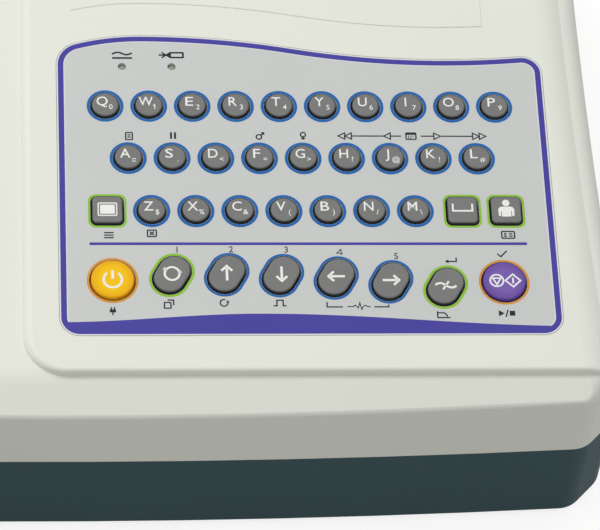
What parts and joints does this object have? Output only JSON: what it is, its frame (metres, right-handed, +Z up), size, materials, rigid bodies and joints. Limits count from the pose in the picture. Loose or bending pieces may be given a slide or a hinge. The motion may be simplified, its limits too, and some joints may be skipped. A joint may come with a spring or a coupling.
{
  "type": "portable ecg machine",
  "caption": "Desktop ECG recorder: sloped cream case on a dark base, letter and function keys on a raised panel, screen behind, hinged paper door with platen on the left.",
  "frame": {"origin": "centre of the footprint, on the plane the feet stand on", "axes": "+X to the right of the person at the keys, +Y to the back, +Z up"},
  "size_m": [0.311, 0.2468, 0.0901],
  "materials": {
    "case_cream": "satin moulded plastic",
    "case_dark": "satin moulded plastic",
    "overlay_grey": "printed film",
    "silicone": "soft silicone",
    "board_green": "solder mask",
    "battery_wrap": "shrink wrap",
    "platen_rubber": "ground rubber",
    "gear_plastic": "moulded",
    "motor_steel": "zinc plated",
    "gear_brass": "machined",
    "head_aluminium": "cast heat sink",
    "paper_white": "thermal paper",
    "release_grey": "satin",
    "display_dark": "display panel",
    "window_clear": "tinted clear",
    "socket_metal": "nickel plated shell",
    "socket_black": "moulded",
    "earth_steel": "plated",
    "foot_rubber": "soft rubber",
    "screw_steel": "zinc plated",
    "key_grey": "satin",
    "key_amber": "satin",
    "key_purple": "satin"
  },
  "bodies": {
    "case": {"bottom_case": "case_dark", "top_cover": "case_cream", "key_overlay": "overlay_grey", "keypad_mat": "silicone", "main_board": "board_green", "power_module": "board_green", "battery_pack": "battery_wrap", "battery_door": "case_dark", "drive_motor": "motor_steel", "print_head": "head_aluminium", "lcd_module": "display_dark", "screen_window": "window_clear", "patient_socket": "socket_metal", "mains_inlet": "socket_black", "ground_post": "earth_steel", "feet": "foot_rubber", "case_screws": "screw_steel"},
    "paper_door": {"paper_door": "case_cream"},
    "door_release": {"door_release": "release_grey"},
    "platen": {"platen_roller": "platen_rubber", "platen_gear": "gear_plastic"},
    "drive": {"motor_pinion": "gear_brass"},
    "paper_roll": {"paper_roll": "paper_white"},
    "key_q": {"key_q": "key_grey"},
    "key_w": {"key_w": "key_grey"},
    "key_e": {"key_e": "key_grey"},
    "key_r": {"key_r": "key_grey"},
    "key_t": {"key_t": "key_grey"},
    "key_y": {"key_y": "key_grey"},
    "key_u": {"key_u": "key_grey"},
    "key_i": {"key_i": "key_grey"},
    "key_o": {"key_o": "key_grey"},
    "key_p": {"key_p": "key_grey"},
    "key_a": {"key_a": "key_grey"},
    "key_s": {"key_s": "key_grey"},
    "key_d": {"key_d": "key_grey"},
    "key_f": {"key_f": "key_grey"},
    "key_g": {"key_g": "key_grey"},
    "key_h": {"key_h": "key_grey"},
    "key_j": {"key_j": "key_grey"},
    "key_k": {"key_k": "key_grey"},
    "key_l": {"key_l": "key_grey"},
    "key_z": {"key_z": "key_grey"},
    "key_x": {"key_x": "key_grey"},
    "key_c": {"key_c": "key_grey"},
    "key_v": {"key_v": "key_grey"},
    "key_b": {"key_b": "key_grey"},
    "key_n": {"key_n": "key_grey"},
    "key_m": {"key_m": "key_grey"},
    "key_menu": {"key_menu": "key_grey"},
    "key_space": {"key_space": "key_grey"},
    "key_patient": {"key_patient": "key_grey"},
    "key_power": {"key_power": "key_amber"},
    "key_mode": {"key_mode": "key_grey"},
    "key_up": {"key_up": "key_grey"},
    "key_down": {"key_down": "key_grey"},
    "key_left": {"key_left": "key_grey"},
    "key_right": {"key_right": "key_grey"},
    "key_filter": {"key_filter": "key_grey"},
    "key_start": {"key_start": "key_purple"}
  },
  "joints": [
    {"name": "paper_door_hinge", "type": "hinge", "parent": "case", "child": "paper_door", "pos_m": [-0.08105, 0.06048, 0.07936], "axis": [-1, 0, 0], "range_deg": [0, 105]},
    {"name": "door_release_press", "type": "slide", "parent": "case", "child": "door_release", "axis": [0, 0.1045, -0.9945], "range_m": [0, 0.002], "stiffness_N_per_m": 600},
    {"name": "platen_spin", "type": "hinge", "parent": "paper_door", "child": "platen", "pos_m": [-0.08105, -0.04305, 0.05993], "axis": [1, 0, 0], "continuous": true},
    {"name": "motor_spin", "type": "hinge", "parent": "case", "child": "drive", "pos_m": [-0.08105, -0.04137, 0.04389], "axis": [1, 0, 0], "continuous": true},
    {"name": "paper_roll_spin", "type": "hinge", "parent": "case", "child": "paper_roll", "pos_m": [-0.08105, 0.01155, 0.037], "axis": [1, 0, 0], "continuous": true},
    {"name": "key_q_press", "type": "slide", "parent": "case", "child": "key_q", "axis": [0, 0.1045, -0.9945], "range_m": [0, 0.0008], "stiffness_N_per_m": 500, "deforming": ["keypad_mat"]},
    {"name": "key_w_press", "type": "slide", "parent": "case", "child": "key_w", "axis": [0, 0.1045, -0.9945], "range_m": [0, 0.0008], "stiffness_N_per_m": 500, "deforming": ["keypad_mat"]},
    {"name": "key_e_press", "type": "slide", "parent": "case", "child": "key_e", "axis": [0, 0.1045, -0.9945], "range_m": [0, 0.0008], "stiffness_N_per_m": 500, "deforming": ["keypad_mat"]},
    {"name": "key_r_press", "type": "slide", "parent": "case", "child": "key_r", "axis": [0, 0.1045, -0.9945], "range_m": [0, 0.0008], "stiffness_N_per_m": 500, "deforming": ["keypad_mat"]},
    {"name": "key_t_press", "type": "slide", "parent": "case", "child": "key_t", "axis": [0, 0.1045, -0.9945], "range_m": [0, 0.0008], "stiffness_N_per_m": 500, "deforming": ["keypad_mat"]},
    {"name": "key_y_press", "type": "slide", "parent": "case", "child": "key_y", "axis": [0, 0.1045, -0.9945], "range_m": [0, 0.0008], "stiffness_N_per_m": 500, "deforming": ["keypad_mat"]},
    {"name": "key_u_press", "type": "slide", "parent": "case", "child": "key_u", "axis": [0, 0.1045, -0.9945], "range_m": [0, 0.0008], "stiffness_N_per_m": 500, "deforming": ["keypad_mat"]},
    {"name": "key_i_press", "type": "slide", "parent": "case", "child": "key_i", "axis": [0, 0.1045, -0.9945], "range_m": [0, 0.0008], "stiffness_N_per_m": 500, "deforming": ["keypad_mat"]},
    {"name": "key_o_press", "type": "slide", "parent": "case", "child": "key_o", "axis": [0, 0.1045, -0.9945], "range_m": [0, 0.0008], "stiffness_N_per_m": 500, "deforming": ["keypad_mat"]},
    {"name": "key_p_press", "type": "slide", "parent": "case", "child": "key_p", "axis": [0, 0.1045, -0.9945], "range_m": [0, 0.0008], "stiffness_N_per_m": 500, "deforming": ["keypad_mat"]},
    {"name": "key_a_press", "type": "slide", "parent": "case", "child": "key_a", "axis": [0, 0.1045, -0.9945], "range_m": [0, 0.0008], "stiffness_N_per_m": 500, "deforming": ["keypad_mat"]},
    {"name": "key_s_press", "type": "slide", "parent": "case", "child": "key_s", "axis": [0, 0.1045, -0.9945], "range_m": [0, 0.0008], "stiffness_N_per_m": 500, "deforming": ["keypad_mat"]},
    {"name": "key_d_press", "type": "slide", "parent": "case", "child": "key_d", "axis": [0, 0.1045, -0.9945], "range_m": [0, 0.0008], "stiffness_N_per_m": 500, "deforming": ["keypad_mat"]},
    {"name": "key_f_press", "type": "slide", "parent": "case", "child": "key_f", "axis": [0, 0.1045, -0.9945], "range_m": [0, 0.0008], "stiffness_N_per_m": 500, "deforming": ["keypad_mat"]},
    {"name": "key_g_press", "type": "slide", "parent": "case", "child": "key_g", "axis": [0, 0.1045, -0.9945], "range_m": [0, 0.0008], "stiffness_N_per_m": 500, "deforming": ["keypad_mat"]},
    {"name": "key_h_press", "type": "slide", "parent": "case", "child": "key_h", "axis": [0, 0.1045, -0.9945], "range_m": [0, 0.0008], "stiffness_N_per_m": 500, "deforming": ["keypad_mat"]},
    {"name": "key_j_press", "type": "slide", "parent": "case", "child": "key_j", "axis": [0, 0.1045, -0.9945], "range_m": [0, 0.0008], "stiffness_N_per_m": 500, "deforming": ["keypad_mat"]},
    {"name": "key_k_press", "type": "slide", "parent": "case", "child": "key_k", "axis": [0, 0.1045, -0.9945], "range_m": [0, 0.0008], "stiffness_N_per_m": 500, "deforming": ["keypad_mat"]},
    {"name": "key_l_press", "type": "slide", "parent": "case", "child": "key_l", "axis": [0, 0.1045, -0.9945], "range_m": [0, 0.0008], "stiffness_N_per_m": 500, "deforming": ["keypad_mat"]},
    {"name": "key_z_press", "type": "slide", "parent": "case", "child": "key_z", "axis": [0, 0.1045, -0.9945], "range_m": [0, 0.0008], "stiffness_N_per_m": 500, "deforming": ["keypad_mat"]},
    {"name": "key_x_press", "type": "slide", "parent": "case", "child": "key_x", "axis": [0, 0.1045, -0.9945], "range_m": [0, 0.0008], "stiffness_N_per_m": 500, "deforming": ["keypad_mat"]},
    {"name": "key_c_press", "type": "slide", "parent": "case", "child": "key_c", "axis": [0, 0.1045, -0.9945], "range_m": [0, 0.0008], "stiffness_N_per_m": 500, "deforming": ["keypad_mat"]},
    {"name": "key_v_press", "type": "slide", "parent": "case", "child": "key_v", "axis": [0, 0.1045, -0.9945], "range_m": [0, 0.0008], "stiffness_N_per_m": 500, "deforming": ["keypad_mat"]},
    {"name": "key_b_press", "type": "slide", "parent": "case", "child": "key_b", "axis": [0, 0.1045, -0.9945], "range_m": [0, 0.0008], "stiffness_N_per_m": 500, "deforming": ["keypad_mat"]},
    {"name": "key_n_press", "type": "slide", "parent": "case", "child": "key_n", "axis": [0, 0.1045, -0.9945], "range_m": [0, 0.0008], "stiffness_N_per_m": 500, "deforming": ["keypad_mat"]},
    {"name": "key_m_press", "type": "slide", "parent": "case", "child": "key_m", "axis": [0, 0.1045, -0.9945], "range_m": [0, 0.0008], "stiffness_N_per_m": 500, "deforming": ["keypad_mat"]},
    {"name": "key_menu_press", "type": "slide", "parent": "case", "child": "key_menu", "axis": [0, 0.1045, -0.9945], "range_m": [0, 0.0008], "stiffness_N_per_m": 500, "deforming": ["keypad_mat"]},
    {"name": "key_space_press", "type": "slide", "parent": "case", "child": "key_space", "axis": [0, 0.1045, -0.9945], "range_m": [0, 0.0008], "stiffness_N_per_m": 500, "deforming": ["keypad_mat"]},
    {"name": "key_patient_press", "type": "slide", "parent": "case", "child": "key_patient", "axis": [0, 0.1045, -0.9945], "range_m": [0, 0.0008], "stiffness_N_per_m": 500, "deforming": ["keypad_mat"]},
    {"name": "key_power_press", "type": "slide", "parent": "case", "child": "key_power", "axis": [0, 0.1045, -0.9945], "range_m": [0, 0.0008], "stiffness_N_per_m": 500, "deforming": ["keypad_mat"]},
    {"name": "key_mode_press", "type": "slide", "parent": "case", "child": "key_mode", "axis": [0, 0.1045, -0.9945], "range_m": [0, 0.0008], "stiffness_N_per_m": 500, "deforming": ["keypad_mat"]},
    {"name": "key_up_press", "type": "slide", "parent": "case", "child": "key_up", "axis": [0, 0.1045, -0.9945], "range_m": [0, 0.0008], "stiffness_N_per_m": 500, "deforming": ["keypad_mat"]},
    {"name": "key_down_press", "type": "slide", "parent": "case", "child": "key_down", "axis": [0, 0.1045, -0.9945], "range_m": [0, 0.0008], "stiffness_N_per_m": 500, "deforming": ["keypad_mat"]},
    {"name": "key_left_press", "type": "slide", "parent": "case", "child": "key_left", "axis": [0, 0.1045, -0.9945], "range_m": [0, 0.0008], "stiffness_N_per_m": 500, "deforming": ["keypad_mat"]},
    {"name": "key_right_press", "type": "slide", "parent": "case", "child": "key_right", "axis": [0, 0.1045, -0.9945], "range_m": [0, 0.0008], "stiffness_N_per_m": 500, "deforming": ["keypad_mat"]},
    {"name": "key_filter_press", "type": "slide", "parent": "case", "child": "key_filter", "axis": [0, 0.1045, -0.9945], "range_m": [0, 0.0008], "stiffness_N_per_m": 500, "deforming": ["keypad_mat"]},
    {"name": "key_start_press", "type": "slide", "parent": "case", "child": "key_start", "axis": [0, 0.1045, -0.9945], "range_m": [0, 0.0008], "stiffness_N_per_m": 500, "deforming": ["keypad_mat"]}
  ],
  "couplings": [
    {"joint": "motor_spin", "follows": "platen_spin", "ratio": -1.2222}
  ]
}
